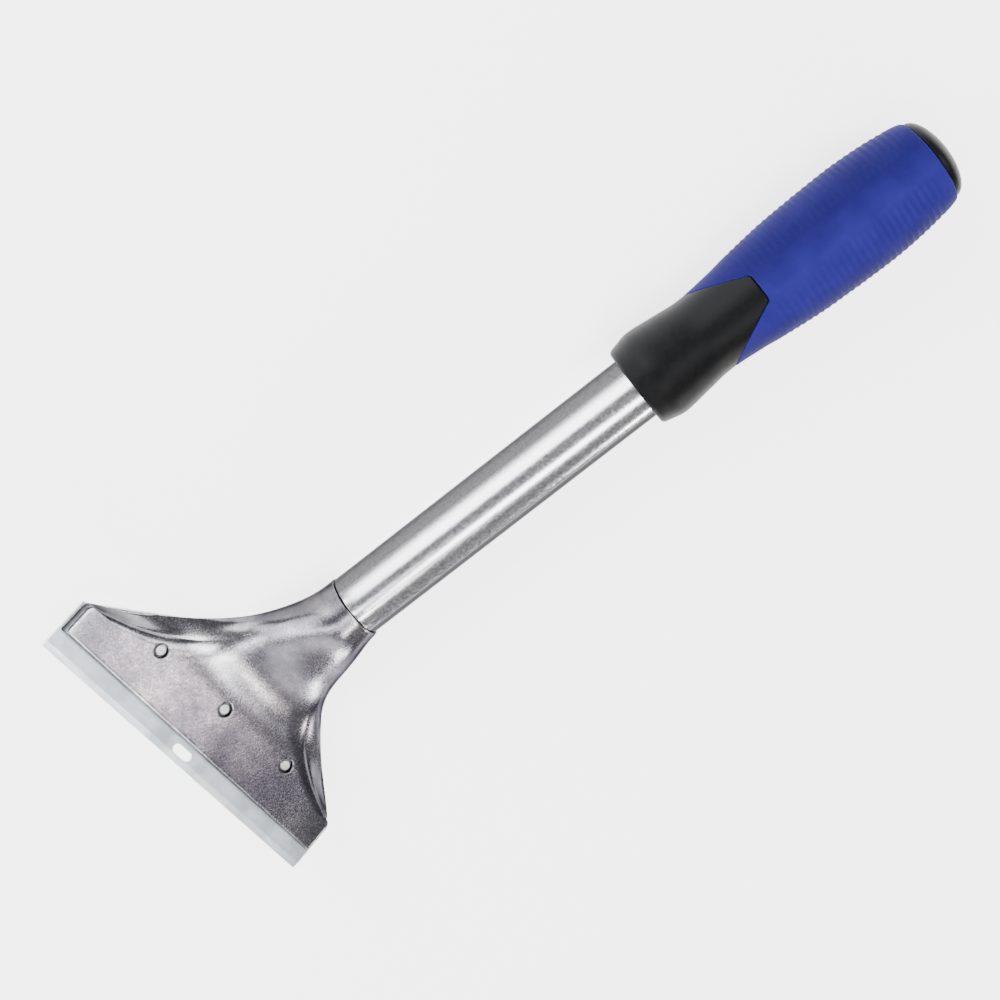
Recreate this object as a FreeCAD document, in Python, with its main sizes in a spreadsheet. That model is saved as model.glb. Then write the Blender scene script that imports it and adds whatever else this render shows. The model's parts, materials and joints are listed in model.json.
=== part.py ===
import FreeCAD, Part
import Sketcher
import functools
import math
import os
import re

# A long-handled scraper lying on its back: the rear edge of the clamp plate and the belly of the
# grip touch the surface. +X runs across the blade, +Y from the blade to the butt of the handle and
# +Z up. The origin is the centre of the footprint, on the surface.
#
# Two local frames are used. The head frame starts at the middle of the cutting edge, with y back
# along the blade's plane and z towards the front face. The tube frame starts where the tube meets
# the casting, with y along the tube's axis.

DIMENSIONS = {
    # blade
    "blade_width": 100.0,
    "blade_depth": 15.5,
    "blade_thick": 1.0,
    "bevel_depth": 1.8,
    "bevel_drop": 0.42,
    "slot_length": 6.6,
    "slot_width": 2.7,
    "slot_inset": 3.3,
    # head casting
    "head_front": 6.1,
    "head_half_width": 49.7,
    "plate_front_z": 2.8,
    "shoulder_y": 15.8,
    "shoulder_run": 1.4,
    "fan_sections": 11,
    "flank_inset": 7.0,
    "blade_seat_end": 15.6,
    "underside_stock": 0.6,
    "underside_rise": 7.0,
    "crease_drop": 0.3,
    "neck_crease_angle": 30.0,
    "neck_foot_angle": -50.0,
    "screw_line_y": 19.4,
    "screw_pitch": 25.5,
    "bend_angle": 27.0,
    "axis_y": 50.0,
    "axis_z": 16.3,
    "neck_radius": 9.3,
    "seam_from_axis_point": 13.0,
    "blend_start_y": 22.0,
    "blend_end_y": 54.0,
    "spigot_radius": 7.77,
    "spigot_length": 30.0,
    "spigot_root": 4.0,
    # clamp plate and screws
    "clamp_gap": 0.05,
    "clamp_thick": 3.0,
    "clamp_front": 7.6,
    "clamp_rear": 30.0,
    "clamp_half_front": 48.0,
    "clamp_half_rear": 26.0,
    "clamp_corner": 2.0,
    "screw_radius": 1.95,
    "screw_hole_radius": 2.02,
    "screw_length": 6.0,
    "screw_head_radius": 3.8,
    "screw_sink": 0.25,
    "screw_tip_chamfer": 0.65,
    "countersink": 2.1,
    "tap_chamfer": 0.35,
    "recess_width": 0.9,
    "recess_span": 4.0,
    "recess_depth": 1.3,
    # tube and its pin
    "tube_radius": 9.0,
    "tube_bore_radius": 7.8,
    "tube_length": 170.0,
    "pin_radius": 1.5,
    "pin_bore_radius": 0.85,
    "pin_slit": 0.6,
    "pin_length": 13.0,
    "pin_from_seam": 14.0,
    "pin_recess": 0.3,
    # handle, measured from its mouth along the tube
    "mouth_from_seam": 96.0,
    "handle_length": 99.5,
    "handle_turn": -30.0,
    "mouth_radius": 11.8,
    "collar_radius": 13.05,
    "collar_at": 6.8,
    "waist_radius": 11.5,
    "waist_at": 22.4,
    "grip_radius": 14.8,
    "grip_at": 71.5,
    "grip_end_radius": 11.7,
    "grip_start": 23.0,
    "grip_end": 94.4,
    "sleeve_radius": 10.6,
    "core_fit": 0.02,
    "grip_gap": 0.02,
    "lip_bore_radius": 9.9,
    "lip_bore_depth": 2.2,
    "tongue_length": 40.5,
    "tongue_half_end": 4.7,
    "tongue_corner": 1.6,
    # end cap
    "cap_radius": 11.4,
    "cap_rim": 1.2,
    "cap_plug_radius": 8.6,
    "cap_plug_length": 7.0,
    "cap_plug_gap": 0.02,
}

doc = FreeCAD.newDocument("floor_scraper")
sheet = doc.addObject("Spreadsheet::Sheet", "dimensions")
for row, (name, value) in enumerate(DIMENSIONS.items(), start=1):
    sheet.set(f"A{row}", name)
    sheet.set(f"B{row}", str(value))
    sheet.setAlias(f"B{row}", name)
doc.recompute()


def size(name):
    """A driving dimension, read from the sheet."""
    return float(getattr(sheet, name))


def sheet_names(expression):
    """The expression with every alias written as a cell of the sheet."""
    return re.sub(r"[a-z]\w*", lambda word: f"dimensions.{word[0]}", expression)


def primitive(kind, name, **properties):
    """A Part primitive whose sizes and place are expressions, such as Radius='tube_radius'."""
    obj = doc.addObject(f"Part::{kind}", name)
    for prop, expression in properties.items():
        path = f"Placement.Base.{prop}" if prop in ("x", "y", "z") else prop
        obj.setExpression(path, sheet_names(expression))
    return obj


def union(name, shapes):
    obj = doc.addObject("Part::MultiFuse", name)
    obj.Shapes = shapes
    return obj


def cut(name, base, tools):
    """Cuts the tools away one after another; the last cut has the piece's name."""
    for number, tool in enumerate(tools, start=1):
        last = number == len(tools)
        step = doc.addObject("Part::Cut", name if last else f"{name}_step_{number}")
        step.Base = base
        step.Tool = tool
        base = step
    return base


def common(name, first, second):
    obj = doc.addObject("Part::Common", name)
    obj.Base = first
    obj.Tool = second
    return obj


def solid_feature(name, shape):
    """A feature that holds a shape worked out from the sheet's values."""
    obj = doc.addObject("Part::Feature", name)
    obj.Shape = shape
    return obj


def face_of(edges):
    return Part.Face(Part.Wire(Part.__sortEdges__(edges)))


def revolved(name, edges):
    """A closed outline in the plane z = 0, on one side of y, turned about the y axis."""
    solid = face_of(edges).revolve(FreeCAD.Vector(0, 0, 0), FreeCAD.Vector(0, 1, 0), 360)
    return solid_feature(name, solid)


def line(start, end):
    return Part.makeLine(FreeCAD.Vector(*start), FreeCAD.Vector(*end))


def smoothed(points):
    """One smooth curve through a few points."""
    curve = Part.BSplineCurve()
    curve.interpolate([FreeCAD.Vector(*point) for point in points])
    return curve.toShape()


# ---------------------------------------------------------------- placements


def tube_point(along):
    """The head frame's (y, z) of a point on the tube's axis, from where tube and casting meet."""
    bend = math.radians(size("bend_angle"))
    reach = size("seam_from_axis_point") + along
    return size("axis_y") + reach * math.cos(bend), size("axis_z") + reach * math.sin(bend)


@functools.lru_cache
def head_pitch():
    """How far the head's plane tips, so that the clamp plate's rear edge and the grip both touch."""
    edge_y = size("clamp_rear")
    edge_z = -size("blade_thick") - size("clamp_gap") - size("clamp_thick")
    bend = math.radians(size("bend_angle"))
    slopes = []
    for point in handle_curve().discretize(400):
        y, z = tube_point(size("mouth_from_seam") + point.y)
        below_y = y + point.x * math.sin(bend)
        below_z = z - point.x * math.cos(bend)
        slopes.append(math.atan2(below_z - edge_z, below_y - edge_y))
    return math.degrees(min(slopes))


def head_placement():
    rotation = FreeCAD.Rotation(FreeCAD.Vector(1, 0, 0), -head_pitch())
    return FreeCAD.Placement(FreeCAD.Vector(0, 0, 0), rotation)


def tube_frame_in_head(along=0.0, turn=0.0):
    """The tube's frame as seen from the head, moved along its axis and turned about it."""
    y, z = tube_point(along)
    bend = FreeCAD.Rotation(FreeCAD.Vector(1, 0, 0), size("bend_angle"))
    about_axis = FreeCAD.Rotation(FreeCAD.Vector(0, 1, 0), turn)
    return FreeCAD.Placement(FreeCAD.Vector(0, y, z), bend.multiply(about_axis))


def tube_placement(along=0.0, turn=0.0):
    return head_placement().multiply(tube_frame_in_head(along, turn))


# ---------------------------------------------------------------- PartDesign helpers


def plane_of(body, role):
    return next(item for item in body.Origin.OriginFeatures if item.Role == role)


def sketch_on(body, role, name):
    sketch = body.newObject("Sketcher::SketchObject", name)
    sketch.AttachmentSupport = [(plane_of(body, role), "")]
    sketch.MapMode = "FlatFace"
    return sketch


def close_loop(sketch, first, count):
    """Joins a run of sketch edges end to start."""
    for step in range(count):
        start = first + step
        end = first + (step + 1) % count
        sketch.addConstraint(Sketcher.Constraint("Coincident", start, 2, end, 1))


def polygon(sketch, points):
    first = sketch.GeometryCount
    for here, there in zip(points, points[1:] + points[:1]):
        sketch.addGeometry(Part.LineSegment(FreeCAD.Vector(*here, 0), FreeCAD.Vector(*there, 0)))
    close_loop(sketch, first, len(points))
    return first


def fix_point(sketch, edge, across, along):
    """Ties the start of an edge to sheet expressions for its x and y in the sketch."""
    for kind, expression in (("DistanceX", across), ("DistanceY", along)):
        point = sketch.getPoint(edge, 1)
        value = point.x if kind == "DistanceX" else point.y
        index = sketch.addConstraint(Sketcher.Constraint(kind, -1, 1, edge, 1, value))
        sketch.setExpression(f"Constraints[{index}]", sheet_names(expression))


def pad(body, sketch, length, midplane=False, reverse=False):
    feature = body.newObject("PartDesign::Pad", f"{sketch.Name}_pad")
    feature.Profile = sketch
    feature.SideType = "Symmetric" if midplane else "One side"
    feature.Reversed = reverse
    feature.setExpression("Length", sheet_names(length))
    sketch.Visibility = False
    return feature


def pocket_through(body, sketch):
    feature = body.newObject("PartDesign::Pocket", f"{sketch.Name}_pocket")
    feature.Profile = sketch
    feature.Type = "ThroughAll"
    feature.SideType = "Symmetric"
    sketch.Visibility = False
    return feature


# ---------------------------------------------------------------- blade


def make_blade():
    """A double-edged strip: a six-sided section, a slot near each edge and square ends."""
    body = doc.addObject("PartDesign::Body", "blade")
    section = sketch_on(body, "YZ_Plane", "blade_section")
    depth, thick = size("blade_depth"), size("blade_thick")
    bevel, drop = size("bevel_depth"), size("bevel_drop")
    points = [
        (0, -thick + drop),
        (bevel, -thick),
        (depth - bevel, -thick),
        (depth, -thick + drop),
        (depth, -drop),
        (depth - bevel, 0),
        (bevel, 0),
        (0, -drop),
    ]
    polygon(section, points)
    places = [
        ("0", "bevel_drop - blade_thick"),
        ("bevel_depth", "0 - blade_thick"),
        ("blade_depth - bevel_depth", "0 - blade_thick"),
        ("blade_depth", "bevel_drop - blade_thick"),
        ("blade_depth", "0 - bevel_drop"),
        ("blade_depth - bevel_depth", "0"),
        ("bevel_depth", "0"),
        ("0", "0 - bevel_drop"),
    ]
    for edge, (across, along) in enumerate(places):
        fix_point(section, edge, across, along)
    pad(body, section, "blade_width", midplane=True)
    doc.recompute()
    solid_volume = body.Shape.Volume

    slots = sketch_on(body, "XY_Plane", "blade_slots")
    half = (size("slot_length") - size("slot_width")) / 2
    radius = size("slot_width") / 2
    for middle in (size("slot_inset"), depth - size("slot_inset")):
        slots.addGeometry(Part.LineSegment(
            FreeCAD.Vector(-half, middle - radius, 0), FreeCAD.Vector(half, middle - radius, 0)))
        slots.addGeometry(Part.ArcOfCircle(
            Part.Circle(FreeCAD.Vector(half, middle, 0), FreeCAD.Vector(0, 0, 1), radius),
            -math.pi / 2, math.pi / 2))
        slots.addGeometry(Part.LineSegment(
            FreeCAD.Vector(half, middle + radius, 0), FreeCAD.Vector(-half, middle + radius, 0)))
        slots.addGeometry(Part.ArcOfCircle(
            Part.Circle(FreeCAD.Vector(-half, middle, 0), FreeCAD.Vector(0, 0, 1), radius),
            math.pi / 2, 3 * math.pi / 2))
    pocket_through(body, slots)
    doc.recompute()
    if body.Shape.Volume >= solid_volume:
        raise ValueError("the blade's slots cut nothing")
    body.Placement = head_placement()
    return body


# ---------------------------------------------------------------- head casting


def fan_half_width(y):
    """Half the casting's width: a parabola from the shoulder to the neck."""
    start, end = size("shoulder_y"), tube_point(0)[0]
    t = min(max((y - start) / (end - start), 0.0), 1.0)
    return size("neck_radius") + (size("head_half_width") - size("neck_radius")) * (1 - t) ** 2


def neck_share(y):
    """0 where the casting is a flat plate, 1 where it is a round neck."""
    start, end = size("blend_start_y"), size("blend_end_y")
    t = min(max((y - start) / (end - start), 0.0), 1.0)
    return t * t * (3 - 2 * t)


def fan_section(y):
    """One cross-section of the casting: crowned front, sloping flanks and an underside.

    Each point is a mix of one on a flat plate's section and one on the neck's circle, placed in a
    plane that tips from upright to square with the tube as the neck takes over.
    """
    neck = neck_share(y)
    radius = size("neck_radius")
    bend = math.radians(size("bend_angle"))
    axis_height = size("axis_z") + (y - size("axis_y")) * math.tan(bend)
    front = size("plate_front_z") - axis_height
    stock = size("underside_stock") * (1 - neck) ** 2
    under = size("underside_rise") * neck - size("blade_thick") - stock - axis_height
    start, end = size("shoulder_y"), tube_point(0)[0]
    swell = math.sin(math.pi * (y - start) / (end - start))
    half = fan_half_width(y)
    crease_half = half - size("flank_inset") * swell * (1 - neck * neck)

    def mixed(flat, angle):
        round_share = neck ** 1.5
        across = flat[0] * (1 - round_share) + half * math.cos(angle) * round_share
        height = flat[1] * (1 - neck) + radius * math.sin(angle) * neck
        lean = height * math.sin(bend * neck)
        return FreeCAD.Vector(across, y - lean, axis_height + height * math.cos(bend * neck))

    def row(first, last, start_degrees, end_degrees, steps):
        """Points from one flat corner to the next, and along the matching arc of the neck."""
        points = []
        for step in range(steps + 1):
            share = step / steps
            flat = [a + (b - a) * share for a, b in zip(first, last)]
            degrees = start_degrees + (end_degrees - start_degrees) * share
            points.append(mixed(flat, math.radians(degrees)))
        return points

    def mirrored(points):
        return [FreeCAD.Vector(-point.x, point.y, point.z) for point in reversed(points)]

    crest, crease, foot = (0, front), (crease_half, front - size("crease_drop") * neck), (half, under)
    side, keel = size("neck_crease_angle"), size("neck_foot_angle")
    top = row(crest, crease, 90, side, 4)
    flank = row(crease, foot, side, keel, 3)
    base = row(foot, (0, under), keel, -90, 2)
    edges = [
        smoothed(mirrored(top)[:-1] + top),
        smoothed(flank),
        smoothed(base + mirrored(base)[1:]),
        smoothed(mirrored(flank)),
    ]
    return Part.Wire(edges)


def make_fan():
    """The casting's body, lofted from just behind the shoulders to the end of the round neck."""
    first = size("shoulder_y") + size("shoulder_run")
    last = tube_point(0)[0]
    count = int(size("fan_sections"))
    stations = [first + (last - first) * step / (count - 1) for step in range(count)]
    wires = [fan_section(y) for y in stations]
    return solid_feature("casting_fan", Part.makeLoft(wires, True, False))


def make_front_plate():
    """The flat front of the casting, with its rounded shoulders."""
    front, half = size("head_front"), size("head_half_width")
    bend_y = size("shoulder_y") - size("shoulder_run")
    back_y = size("shoulder_y") + size("shoulder_run")
    back_half = fan_half_width(back_y)
    round_mid = (half - 0.25 * (half - back_half), size("shoulder_y") + 0.25 * size("shoulder_run"))

    thick = size("plate_front_z") + size("blade_thick") + size("underside_stock")

    def at(x, y):
        return FreeCAD.Vector(x, y, size("plate_front_z") - thick)

    def shoulder(side):
        start, middle = at(side * half, bend_y), at(side * round_mid[0], round_mid[1])
        return Part.Arc(start, middle, at(side * back_half, back_y)).toShape()

    edges = [
        line(at(-half, front), at(half, front)),
        line(at(half, front), at(half, bend_y)),
        shoulder(1),
        line(at(back_half, back_y), at(-back_half, back_y)),
        shoulder(-1),
        line(at(-half, bend_y), at(-half, front)),
    ]
    return solid_feature("casting_plate", face_of(edges).extrude(FreeCAD.Vector(0, 0, thick)))


def on_tube_axis(obj, along):
    """Sets a cylinder of the head frame on the tube's axis, starting a way along it."""
    y, z = tube_point(along)
    rotation = FreeCAD.Rotation(FreeCAD.Vector(1, 0, 0), size("bend_angle") - 90)
    obj.Placement = FreeCAD.Placement(FreeCAD.Vector(0, y, z), rotation)
    return obj


def pin_tool(name, radius, start, end):
    """A cylinder across the tube, from the back, in the head frame."""
    tool = primitive("Cylinder", name, Radius=radius)
    tool.Height = end - start
    place = tube_frame_in_head(size("pin_from_seam"))
    offset = FreeCAD.Placement(FreeCAD.Vector(0, 0, start), FreeCAD.Rotation())
    tool.Placement = place.multiply(offset)
    return tool


def pin_span():
    """Where the pin starts and ends, as heights across the tube from its axis."""
    start = -size("tube_radius") + size("pin_recess")
    return start, start + size("pin_length")


def screw_places():
    pitch = size("screw_pitch")
    return {"clamp_screw_left": -pitch, "clamp_screw_centre": 0.0, "clamp_screw_right": pitch}


def screw_hole_tools():
    tools = []
    for name, x in screw_places().items():
        bore = primitive("Cylinder", f"{name}_bore", Radius="screw_hole_radius", y="screw_line_y")
        bore.Height = 4 * size("plate_front_z")
        bore.Placement.Base.x = x
        bore.Placement.Base.z = -2 * size("plate_front_z")
        mouth = primitive("Cone", f"{name}_mouth", Radius1="screw_hole_radius",
                          Radius2="screw_hole_radius + 4 * tap_chamfer", Height="4 * tap_chamfer",
                          y="screw_line_y", z="plate_front_z - tap_chamfer")
        mouth.Placement.Base.x = x
        tools.append(union(f"{name}_hole", [bore, mouth]))
    return tools


def make_head_casting():
    plate = make_front_plate()
    fan = make_fan()
    spigot = primitive("Cylinder", "casting_spigot", Radius="spigot_radius",
                       Height="spigot_length + spigot_root")
    on_tube_axis(spigot, -size("spigot_root"))
    body = union("casting_body", [plate, fan, spigot])

    seat = primitive("Box", "blade_seat", Length="3 * head_half_width", Width="blade_seat_end",
                     Height="3 * blade_thick", x="-1.5 * head_half_width", z="-3 * blade_thick")
    underside = primitive("Box", "casting_underside", Length="3 * head_half_width",
                          Width="clamp_rear + 12", Height="plate_front_z",
                          x="-1.5 * head_half_width", z="-plate_front_z - blade_thick")
    start, end = pin_span()
    pin_hole = pin_tool("casting_pin_hole", "pin_radius + core_fit", start - 5, end)
    casting = cut("head_casting", body, screw_hole_tools() + [seat, underside, pin_hole])
    casting.Placement = head_placement()
    return casting


# ---------------------------------------------------------------- clamp plate and screws


def make_clamp_plate():
    """A flat steel plate behind the blade, with countersunk holes and square rear corners."""
    body = doc.addObject("PartDesign::Body", "clamp_plate")
    outline = sketch_on(body, "XY_Plane", "clamp_outline")
    front, rear = size("clamp_front"), size("clamp_rear")
    wide, narrow = size("clamp_half_front"), size("clamp_half_rear")
    shoulder = size("shoulder_y")
    points = [(-wide, front), (wide, front), (wide, shoulder), (narrow, rear), (-narrow, rear),
              (-wide, shoulder)]
    polygon(outline, points)
    places = [
        ("-clamp_half_front", "clamp_front"),
        ("clamp_half_front", "clamp_front"),
        ("clamp_half_front", "shoulder_y"),
        ("clamp_half_rear", "clamp_rear"),
        ("-clamp_half_rear", "clamp_rear"),
        ("-clamp_half_front", "shoulder_y"),
    ]
    for edge, (across, along) in enumerate(places):
        fix_point(outline, edge, across, along)
    plate = pad(body, outline, "clamp_thick", reverse=True)
    doc.recompute()

    rounding = body.newObject("PartDesign::Fillet", "clamp_corners")
    corners = [f"Edge{number}" for number, edge in enumerate(plate.Shape.Edges, start=1)
               if abs(edge.tangentAt(edge.FirstParameter).z) > 0.99
               and edge.BoundBox.YMax < rear - 0.01]
    rounding.Base = (plate, corners)
    rounding.setExpression("Radius", sheet_names("clamp_corner"))
    doc.recompute()

    holes = sketch_on(body, "XY_Plane", "clamp_holes")
    radius = size("screw_hole_radius")
    for x in screw_places().values():
        middle = FreeCAD.Vector(x, size("screw_line_y"), 0)
        holes.addGeometry(Part.Circle(middle, FreeCAD.Vector(0, 0, 1), radius))
    pocket_through(body, holes)
    doc.recompute()

    back = -size("clamp_thick")
    drilled = body.Tip
    rims = [f"Edge{number}" for number, edge in enumerate(drilled.Shape.Edges, start=1)
            if isinstance(edge.Curve, Part.Circle) and abs(edge.Curve.Radius - radius) < 0.01
            and abs(edge.BoundBox.Center.z - back) < 0.01]
    sink = body.newObject("PartDesign::Chamfer", "clamp_countersinks")
    sink.Base = (drilled, rims)
    sink.setExpression("Size", sheet_names("countersink"))
    doc.recompute()

    drop = FreeCAD.Vector(0, 0, -size("blade_thick") - size("clamp_gap"))
    body.Placement = head_placement().multiply(FreeCAD.Placement(drop, FreeCAD.Rotation()))
    return body


def make_clamp_screw(name, x):
    """A countersunk screw with a cross recess; its threads are plain cylinders."""
    face_z = -size("blade_thick") - size("clamp_gap") - size("clamp_thick") + size("screw_sink")
    head = primitive("Cone", f"{name}_head", Radius1="screw_head_radius", Radius2="screw_radius",
                     Height="screw_head_radius - screw_radius")
    shank = primitive("Cylinder", f"{name}_shank", Radius="screw_radius",
                      Height="screw_length - screw_tip_chamfer")
    tip = primitive("Cone", f"{name}_tip", Radius1="screw_radius",
                    Radius2="screw_radius - screw_tip_chamfer", Height="screw_tip_chamfer",
                    z="screw_length - screw_tip_chamfer")
    solid = union(f"{name}_body", [head, shank, tip])
    bars = []
    for number, angle in enumerate((45, 135)):
        bar = primitive("Box", f"{name}_recess_{number}", Length="recess_span", Width="recess_width",
                        Height="recess_depth")
        half = FreeCAD.Vector(-size("recess_span") / 2, -size("recess_width") / 2, 0)
        spin = FreeCAD.Placement(FreeCAD.Vector(0, 0, 0), FreeCAD.Rotation(FreeCAD.Vector(0, 0, 1), angle))
        bar.Placement = spin.multiply(FreeCAD.Placement(half, FreeCAD.Rotation()))
        bars.append(bar)
    screw = cut(name, solid, bars)
    place = FreeCAD.Placement(FreeCAD.Vector(x, size("screw_line_y"), face_z), FreeCAD.Rotation())
    screw.Placement = head_placement().multiply(place)
    return screw


# ---------------------------------------------------------------- tube and its pin


def make_tube():
    outer = primitive("Cylinder", "tube_outer", Radius="tube_radius", Height="tube_length")
    inner = primitive("Cylinder", "tube_bore", Radius="tube_bore_radius", Height="2 * tube_length")
    on_tube_axis(outer, 0)
    on_tube_axis(inner, -size("tube_length") / 2)
    start, end = pin_span()
    hole = pin_tool("tube_pin_hole", "pin_radius + core_fit", start - 5, 0)
    tube = cut("steel_tube", outer, [inner, hole])
    tube.Placement = head_placement()
    return tube


def make_pin():
    """A slotted spring pin that locks the tube on the spigot."""
    start, end = pin_span()
    outer = pin_tool("pin_outer", "pin_radius", start, end)
    inner = pin_tool("pin_bore", "pin_bore_radius", start - 1, end + 1)
    slit = primitive("Box", "pin_slit_cut", Length="pin_slit", Width="2 * pin_radius")
    slit.Height = end - start + 2
    place = tube_frame_in_head(size("pin_from_seam"))
    offset = FreeCAD.Placement(FreeCAD.Vector(-size("pin_slit") / 2, 0, start - 1), FreeCAD.Rotation())
    slit.Placement = place.multiply(offset)
    pin = cut("spring_pin", outer, [inner, slit])
    pin.Placement = head_placement()
    return pin


# ---------------------------------------------------------------- handle


def handle_outline():
    """Half the handle's outline as (radius, along): lip, collar, waist, belly and rounded end."""
    waist, waist_at = size("waist_radius"), size("waist_at")
    belly, belly_at = size("grip_radius"), size("grip_at")
    end, end_at = size("grip_end_radius"), size("grip_end")
    lip = [(size("mouth_radius") - 1.0, 0.0), (size("mouth_radius"), 0.9)]
    collar = [(size("collar_radius"), size("collar_at"))]
    neck = [((size("collar_radius") + waist) / 2, (size("collar_at") + waist_at) / 2), (waist, waist_at)]
    swell = [(waist + (belly - waist) * rise, waist_at + (belly_at - waist_at) * run)
             for run, rise in ((0.2, 0.21), (0.41, 0.62), (0.64, 0.89), (1.0, 1.0))]
    taper = [(belly - (belly - end) * fall, belly_at + (end_at - belly_at) * run)
             for run, fall in ((0.27, 0.07), (0.5, 0.21), (0.73, 0.42), (0.94, 0.74), (1.0, 1.0))]
    return lip + collar + neck + swell + taper


def handle_curve():
    return smoothed([(radius, along, 0) for radius, along in handle_outline()])


def make_envelope(name):
    """The handle's whole outside as one solid, without the cap."""
    first, last = handle_outline()[0], handle_outline()[-1]
    edges = [
        line((0, 0, 0), (*first, 0)),
        handle_curve(),
        line((*last, 0), (0, last[1], 0)),
        line((0, last[1], 0), (0, 0, 0)),
    ]
    return revolved(name, edges)


def make_tongue_prism(name, gap):
    """What the grip leaves open for the core: all of the collar, and a tongue front and back."""
    start, tip = size("grip_start"), size("tongue_length")
    wide, half = size("waist_radius") + 0.6 + gap, size("tongue_half_end") + gap
    round_off = size("tongue_corner")
    far = 3 * size("grip_radius")
    points = [(-far, -5), (far, -5), (far, start), (wide, start), (half, tip - round_off),
              (half - round_off, tip + gap), (round_off - half, tip + gap), (-half, tip - round_off),
              (-wide, start), (-far, start)]
    corners = [(x, y, -far) for x, y in points]
    edges = [line(here, there) for here, there in zip(corners, corners[1:] + corners[:1])]
    return solid_feature(name, face_of(edges).extrude(FreeCAD.Vector(0, 0, 2 * far)))


def handle_cylinder(name, radius, start, end):
    """A cylinder on the handle's axis; start and end are measured from the mouth."""
    obj = primitive("Cylinder", name, Radius=radius)
    obj.Height = end - start
    rotation = FreeCAD.Rotation(FreeCAD.Vector(1, 0, 0), -90)
    obj.Placement = FreeCAD.Placement(FreeCAD.Vector(0, start, 0), rotation)
    return obj


def place_handle_piece(obj):
    obj.Placement = tube_placement(size("mouth_from_seam"), size("handle_turn"))
    return obj


def make_handle_core():
    """The hard core: collar, waist and two tongues outside, and a sleeve under the soft grip."""
    end = size("grip_end")
    skin = common("core_skin", make_envelope("core_envelope"), make_tongue_prism("core_prism", 0))
    sleeve = handle_cylinder("core_sleeve", "sleeve_radius", size("waist_at") / 2, end)
    solid = union("core_solid", [skin, sleeve])
    tube_end = size("tube_length") - size("mouth_from_seam")
    bore = handle_cylinder("core_bore", "tube_radius + core_fit", -1, tube_end + 0.5)
    lip = handle_cylinder("core_lip", "lip_bore_radius", -1, size("lip_bore_depth"))
    plug = handle_cylinder("core_plug_bore", "cap_plug_radius + cap_plug_gap",
                           end - size("cap_plug_length") - 0.5, end + 1)
    core = cut("handle_core", solid, [bore, lip, plug])
    return place_handle_piece(core)


def make_soft_grip():
    """The soft overmould: what the tongues leave of the handle's outside, down to the sleeve."""
    prism = make_tongue_prism("grip_prism", size("grip_gap"))
    hollow = handle_cylinder("grip_hollow", "sleeve_radius + core_fit", -5, size("handle_length"))
    grip = cut("soft_grip", make_envelope("grip_envelope"), [prism, hollow])
    return place_handle_piece(grip)


def make_end_cap():
    """A domed black cap with a plug that fits the core's open end."""
    start, tip = size("grip_end"), size("handle_length")
    radius, plug, depth = size("cap_radius"), size("cap_plug_radius"), size("cap_plug_length")
    rim = start + size("cap_rim")
    rise = tip - rim
    ball = (radius * radius + rise * rise) / (2 * rise)
    half_angle = math.asin(radius / ball) / 2
    middle = (ball * math.sin(half_angle), tip - ball + ball * math.cos(half_angle), 0)
    dome = Part.Arc(FreeCAD.Vector(radius, rim, 0), FreeCAD.Vector(*middle), FreeCAD.Vector(0, tip, 0))
    edges = [
        line((0, start - depth, 0), (plug, start - depth, 0)),
        line((plug, start - depth, 0), (plug, start, 0)),
        line((plug, start, 0), (radius, start, 0)),
        line((radius, start, 0), (radius, rim, 0)),
        dome.toShape(),
        line((0, tip, 0), (0, start - depth, 0)),
    ]
    return place_handle_piece(revolved("end_cap", edges))


# ---------------------------------------------------------------- the whole tool


def check_document():
    """Stops on any object that failed, which recompute() alone doesn't show."""
    for obj in doc.Objects:
        if "Invalid" in obj.State or "Error" in obj.State:
            raise ValueError(f"{obj.Name} is {obj.State}")


def set_on_footprint(pieces):
    """Moves every piece so that the origin is the centre of the footprint, on the surface."""
    whole = Part.makeCompound([piece.Shape for piece in pieces]).optimalBoundingBox()
    shift = FreeCAD.Vector(-whole.Center.x, -whole.Center.y, -whole.ZMin)
    for piece in pieces:
        place = piece.Placement
        place.Base = place.Base + shift
        piece.Placement = place
    print("origin of the head frame:", shift, "pitch:", head_pitch())


def main():
    pieces = [make_blade(), make_head_casting(), make_clamp_plate()]
    pieces += [make_clamp_screw(name, x) for name, x in screw_places().items()]
    pieces += [make_tube(), make_pin(), make_handle_core(), make_soft_grip(), make_end_cap()]
    doc.recompute()
    set_on_footprint(pieces)
    doc.recompute()
    check_document()
    os.makedirs("parts", exist_ok=True)
    for piece in pieces:
        shape = piece.Shape
        if shape.isNull() or not shape.isValid() or len(shape.Solids) != 1:
            raise ValueError(f"{piece.Label} isn't one valid solid")
        shape.exportStep(f"parts/{piece.Label}.step")
        print(f"{piece.Label}: {shape.Volume:.1f} mm3")


main()
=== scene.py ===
import json
import math

import bmesh
import bpy
from mathutils import Matrix, Vector, noise


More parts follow.
